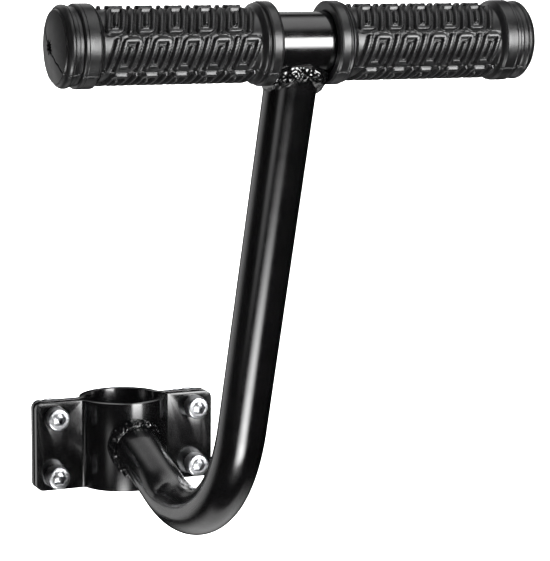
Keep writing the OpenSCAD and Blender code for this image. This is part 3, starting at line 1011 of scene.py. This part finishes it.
def nut_mesh(sizes):
    """A flange nut up Z from its seat, with a bevelled hexagon and an open bore."""
    hexagon = hex_radius(full_turn(FASTENER_COLUMNS), sizes.nut_flats)
    bore = sizes.thread_diameter / 2
    rim, high = sizes.flange_radius, sizes.nut_height
    flats = sizes.nut_flats / 2
    shoulder = 2.3 * sizes.flange_rim
    bevel_from = high - 0.75 * MM
    stations = [
        (bore, 0.0),
        (rim - 0.35 * MM, 0.0),
        (rim, 0.3 * MM),
        (rim, sizes.flange_rim),
        (rim - 0.25 * MM, sizes.flange_rim + 0.2 * MM),
        (np.maximum(hexagon + 0.1 * MM, rim - 1.4 * MM), sizes.flange_rim + 0.6 * MM),
        (hexagon + 0.05 * MM, shoulder),
        (hexagon, shoulder + 0.2 * MM),
        (hexagon, bevel_from),
        (np.minimum(hexagon, flats + 0.45 * MM), bevel_from + 0.3 * MM),
        (np.minimum(hexagon, flats), high - 0.1 * MM),
        (flats - 0.25 * MM, high),
        (bore + 0.45 * MM, high),
        (bore, high - 0.4 * MM),
    ]
    return solid_of_rings("nut", stations, closed=True)


def nut_tree():
    """Sets a nut on each point, each turned a little differently."""
    tree = NodeTree("Flange nuts", {"Nut": "object", "Turn": "float", "Seed": "int", "Finish": "material"})
    nut = tree.put("GeometryNodeObjectInfo", {"Object": tree.given("Nut")}, output="Geometry")
    chance = tree.tree.nodes.new("FunctionNodeRandomValue")
    chance.data_type = "FLOAT"
    chance.inputs[2].default_value = 0.0
    tree.tree.links.new(tree.given("Turn"), chance.inputs[3])
    tree.tree.links.new(tree.given("Seed"), chance.inputs["Seed"])
    turned_by = tree.put("ShaderNodeCombineXYZ", {0: -math.pi / 2, 1: chance.outputs[1]})
    placed = tree.put(
        "GeometryNodeInstanceOnPoints", {"Points": tree.given("Geometry"), "Instance": nut, "Rotation": turned_by}
    )
    tree.end(placed, tree.given("Finish"))
    return tree


def hole_points(nodes, y):
    """The nodes' centres across the plates, at the height y along the screws."""
    middles = [sum(box_of(node), Vector()) / 2 for node in nodes]
    return [Vector((middle.x, y, middle.z)) for middle in middles]


def spare_object(name, mesh):
    """A source for instances, which is removed once it has been used."""
    made = bpy.data.objects.new(name, mesh)
    bpy.context.scene.collection.objects.link(made)
    return made


class HANDLE_OT_fasteners(bpy.types.Operator):
    """Make the four socket screws and their flange nuts"""

    bl_idname = "handle.make_fasteners"
    bl_label = "Screws and nuts"

    def execute(self, context):
        sizes = context.scene.handle_fasteners
        head = spare_object("head_source", head_mesh(sizes))
        seats = hole_points(SCREWS, SCREW_LOW.y + sizes.head_height)
        values = {
            "Diameter": sizes.thread_diameter,
            "Pitch": sizes.thread_pitch,
            "Depth": sizes.thread_depth,
            "Length": sizes.screw_length,
            "Head": head,
            "Facing": (-math.pi / 2, 0, 0),
            "Finish": finish_for("zinc_plate"),
        }
        screws = grow("screws", points_mesh("screw_seats", seats), screw_tree(), values)
        nut = spare_object("nut_source", nut_mesh(sizes))
        values = {"Nut": nut, "Turn": math.radians(60), "Seed": 4, "Finish": finish_for("zinc_plate")}
        nuts = grow("nuts", points_mesh("nut_seats", hole_points(NUTS, NUT_LOW.y)), nut_tree(), values)
        bpy.data.objects.remove(head)
        bpy.data.objects.remove(nut)
        add_piece("clamp_screws", screws, "zinc_plate", SCREWS, 35)
        add_piece("clamp_nuts", nuts, "zinc_plate", NUTS, 35)
        return {"FINISHED"}


# Studio


def floor_material(colour):
    """Plain pale paper on a light table."""
    paper = Finish("studio_paper")
    paper.clouded(paper.noise(40, 2), times(colour, 0.995), colour)
    paper.fix(Roughness=0.9, Emission_Color=(1, 1, 1, 1), Emission_Strength=0.5)
    return paper.material


def add_floor(sizes, colour):
    """A floor that curves up into a backdrop behind the handle."""
    back, rise, bend, half, front = 2.2, 2.6, 0.6, 3.0, -2.6
    drop = -sizes.floor_drop
    line = [(front, drop), (back - bend, drop)]
    turns = np.linspace(0.1, math.pi / 2, 12)
    line += [(back - bend + bend * math.sin(t), drop + bend * (1 - math.cos(t))) for t in turns]
    line += [(back, rise)]
    points = [(x, y, z) for y, z in line for x in (-half, half)]
    faces = [(2 * i, 2 * i + 1, 2 * i + 3, 2 * i + 2) for i in range(len(line) - 1)]
    mesh = bpy.data.meshes.new("studio_floor")
    mesh.from_pydata(points, [], faces)
    mesh.polygons.foreach_set("use_smooth", [True] * len(faces))
    mesh.materials.append(floor_material(colour))
    floor = bpy.data.objects.new("studio_floor", mesh)
    floor.visible_glossy = False
    bpy.context.scene.collection.objects.link(floor)


def glow_material(name, half, fade, strength):
    """Lamp cloth that is brightest in its middle and fades to its four edges."""
    cloth = Finish(name)
    cloth.nodes.remove(cloth.shader)
    glow = cloth.nodes.new("ShaderNodeEmission")
    cloth.links.new(glow.outputs["Emission"], cloth.nodes["Material Output"].inputs["Surface"])
    parts = cloth.nodes.new("ShaderNodeSeparateXYZ")
    cloth.links.new(cloth.put("ShaderNodeTexCoord", {}, "Object"), parts.inputs["Vector"])
    level = strength
    for axis, sign in ((0, 1), (0, -1), (1, 1), (1, -1)):
        rim = sign * half[axis]
        inner = rim - sign * fade[axis][0 if sign > 0 else 1]
        edge = cloth.spread(parts.outputs[axis], 0.0, 1.0, rim, inner)
        edge.node.interpolation_type = "SMOOTHSTEP"
        level = cloth.put("ShaderNodeMath", {0: level, 1: edge}, 0)
        level.node.operation = "MULTIPLY"
    cloth.links.new(level, glow.inputs["Strength"])
    return cloth.material


def facing(place, right, above, back):
    """A place with the directions of its three axes."""
    return Matrix.Translation(place) @ Matrix((right, above, back)).transposed().to_4x4()


def towards(turn, up):
    """The direction at an azimuth from the front and an elevation."""
    return Vector((math.sin(turn) * math.cos(up), -math.cos(turn) * math.cos(up), math.sin(up)))


def add_card(name, aim, azimuth, elevation, distance, size, fade, strength):
    """A soft box for reflections only. It faces its aim from a direction in degrees;
    fade is the width of its soft edges as ((right, left), (top, bottom))."""
    away = towards(math.radians(azimuth), math.radians(elevation))
    right = Vector((0, 0, 1)).cross(away).normalized()
    above = away.cross(right)
    half = (size[0] / 2, size[1] / 2)
    corners = [(-half[0], -half[1], 0), (half[0], -half[1], 0), (half[0], half[1], 0), (-half[0], half[1], 0)]
    mesh = bpy.data.meshes.new(name)
    mesh.from_pydata(corners, [], [(0, 1, 2, 3)])
    mesh.materials.append(glow_material(name, half, fade, strength))
    card = bpy.data.objects.new(name, mesh)
    card.matrix_world = facing(Vector(aim) + distance * away, right, above, away)
    card.visible_camera = False
    card.visible_diffuse = False
    card.visible_shadow = False
    bpy.context.scene.collection.objects.link(card)


def add_softbox(name, place, aim, width, height, watts):
    """A rectangular lamp that faces its aim and isn't seen in the gloss."""
    lamp = bpy.data.lights.new(name, "AREA")
    lamp.shape = "RECTANGLE"
    lamp.size = width
    lamp.size_y = height
    lamp.energy = watts
    made = bpy.data.objects.new(name, lamp)
    made.location = place
    made.rotation_euler = (Vector(aim) - Vector(place)).to_track_quat("-Z", "Y").to_euler()
    made.visible_camera = False
    made.visible_glossy = False
    bpy.context.scene.collection.objects.link(made)


def add_camera(sizes):
    """The camera at the photograph's angle, found from the object's own sizes."""
    back = towards(sizes.azimuth, sizes.elevation)
    right = Vector((math.cos(sizes.azimuth), math.sin(sizes.azimuth), 0))
    above = back.cross(right)
    c, s = math.cos(sizes.roll), math.sin(sizes.roll)
    right, above = c * right + s * above, c * above - s * right
    place = sizes.shift_x * right + sizes.shift_y * above + sizes.distance * back
    camera = bpy.data.cameras.new("camera")
    camera.lens = sizes.lens
    camera.sensor_width = 36
    camera.clip_start = 0.01
    made = bpy.data.objects.new("camera", camera)
    made.matrix_world = facing(place, right, above, back)
    bpy.context.scene.collection.objects.link(made)
    bpy.context.scene.camera = made


class HANDLE_OT_studio(bpy.types.Operator):
    """Make the camera, the pale floor and the soft lights"""

    bl_idname = "handle.make_studio"
    bl_label = "Studio"

    def execute(self, context):
        sizes = context.scene.handle_studio
        add_camera(sizes)
        add_floor(sizes, tuple(context.scene.handle_finishes.floor))
        bar, stem, plate = (0, -0.19, 0.18), (0, -0.15, 0.04), (0, -0.02, 0.0)
        add_card("key_card", bar, 24, 2, 0.9, (0.56, 0.64), ((0.06, 0.06), (0.05, 0.22)), 22)
        add_card("low_card", (0, -0.15, -0.02), -22, -44, 0.6, (0.54, 0.45), ((0.26, 0.28), (0.27, 0.1)), 19)
        add_card("left_low_card", bar, -66, -31, 0.7, (0.4, 0.355), ((0.2, 0.2), (0.1, 0.14)), 1.45)
        add_card("back_left_card", stem, -150, -8, 0.9, (1.1, 1.0), ((0.5, 0.4), (0.3, 0.3)), 0.75)
        add_card("top_card", bar, 65, 70, 0.8, (1.2, 0.8), ((0.4, 0.4), (0.36, 0.26)), 2.0)
        add_card("back_top_card", plate, 178, 42, 1.0, (1.4, 0.9), ((0.4, 0.4), (0.3, 0.3)), 1.0)
        add_card("back_low_card", plate, 156, -62, 0.5, (0.9, 0.6), ((0.3, 0.3), (0.3, 0.1)), 0.9)
        heart = (0, -0.1, 0.06)
        add_softbox("front_box", (0.5, -1.2, 0.5), heart, 0.8, 0.9, 12)
        add_softbox("left_box", (-1.1, -0.3, 0.5), heart, 0.8, 1.2, 10)
        add_softbox("top_box", (0.1, 0.1, 1.2), heart, 1.2, 0.9, 16)
        add_softbox("backdrop_light", (0, 0.75, 1.5), (0, 2.0, 0.0), 2.4, 0.8, 130)
        world = bpy.data.worlds.new("studio")
        world.use_nodes = True
        background = world.node_tree.nodes["Background"]
        background.inputs["Color"].default_value = (1, 1, 1, 1)
        background.inputs["Strength"].default_value = 0.95
        context.scene.world = world
        world.cycles_visibility.glossy = False
        world.cycles_visibility.diffuse = False
        context.scene.view_settings.view_transform = "Standard"
        return {"FINISHED"}


class HANDLE_PT_panel(bpy.types.Panel):
    """Sizes and steps of the handle"""

    bl_idname = "HANDLE_PT_panel"
    bl_label = "Seat post child handle"
    bl_space_type = "VIEW_3D"
    bl_region_type = "UI"
    bl_category = "Handle"

    def draw(self, context):
        for step in STEPS:
            self.layout.operator(step.bl_idname)
        for name, group in SIZE_GROUPS:
            part = self.layout.box()
            part.label(text=group.__name__)
            for prop in group.__annotations__:
                part.prop(getattr(context.scene, name), prop)


STEPS = (
    HANDLE_OT_studio,
    HANDLE_OT_tubes,
    HANDLE_OT_welds,
    HANDLE_OT_clamp,
    HANDLE_OT_grips,
    HANDLE_OT_fasteners,
)


def register():
    for name, group in SIZE_GROUPS:
        bpy.utils.register_class(group)
        setattr(bpy.types.Scene, name, PointerProperty(type=group))
    for step in STEPS:
        bpy.utils.register_class(step)
    bpy.utils.register_class(HANDLE_PT_panel)


def unregister():
    bpy.utils.unregister_class(HANDLE_PT_panel)
    for step in reversed(STEPS):
        bpy.utils.unregister_class(step)
    for name, group in reversed(SIZE_GROUPS):
        delattr(bpy.types.Scene, name)
        bpy.utils.unregister_class(group)


def main():
    register()
    bpy.ops.handle.make_studio()
    bpy.ops.handle.make_tubes()
    bpy.ops.handle.make_welds()
    bpy.ops.handle.make_clamp()
    bpy.ops.handle.make_grips()
    bpy.ops.handle.make_fasteners()


if __name__ == "__main__":
    main()
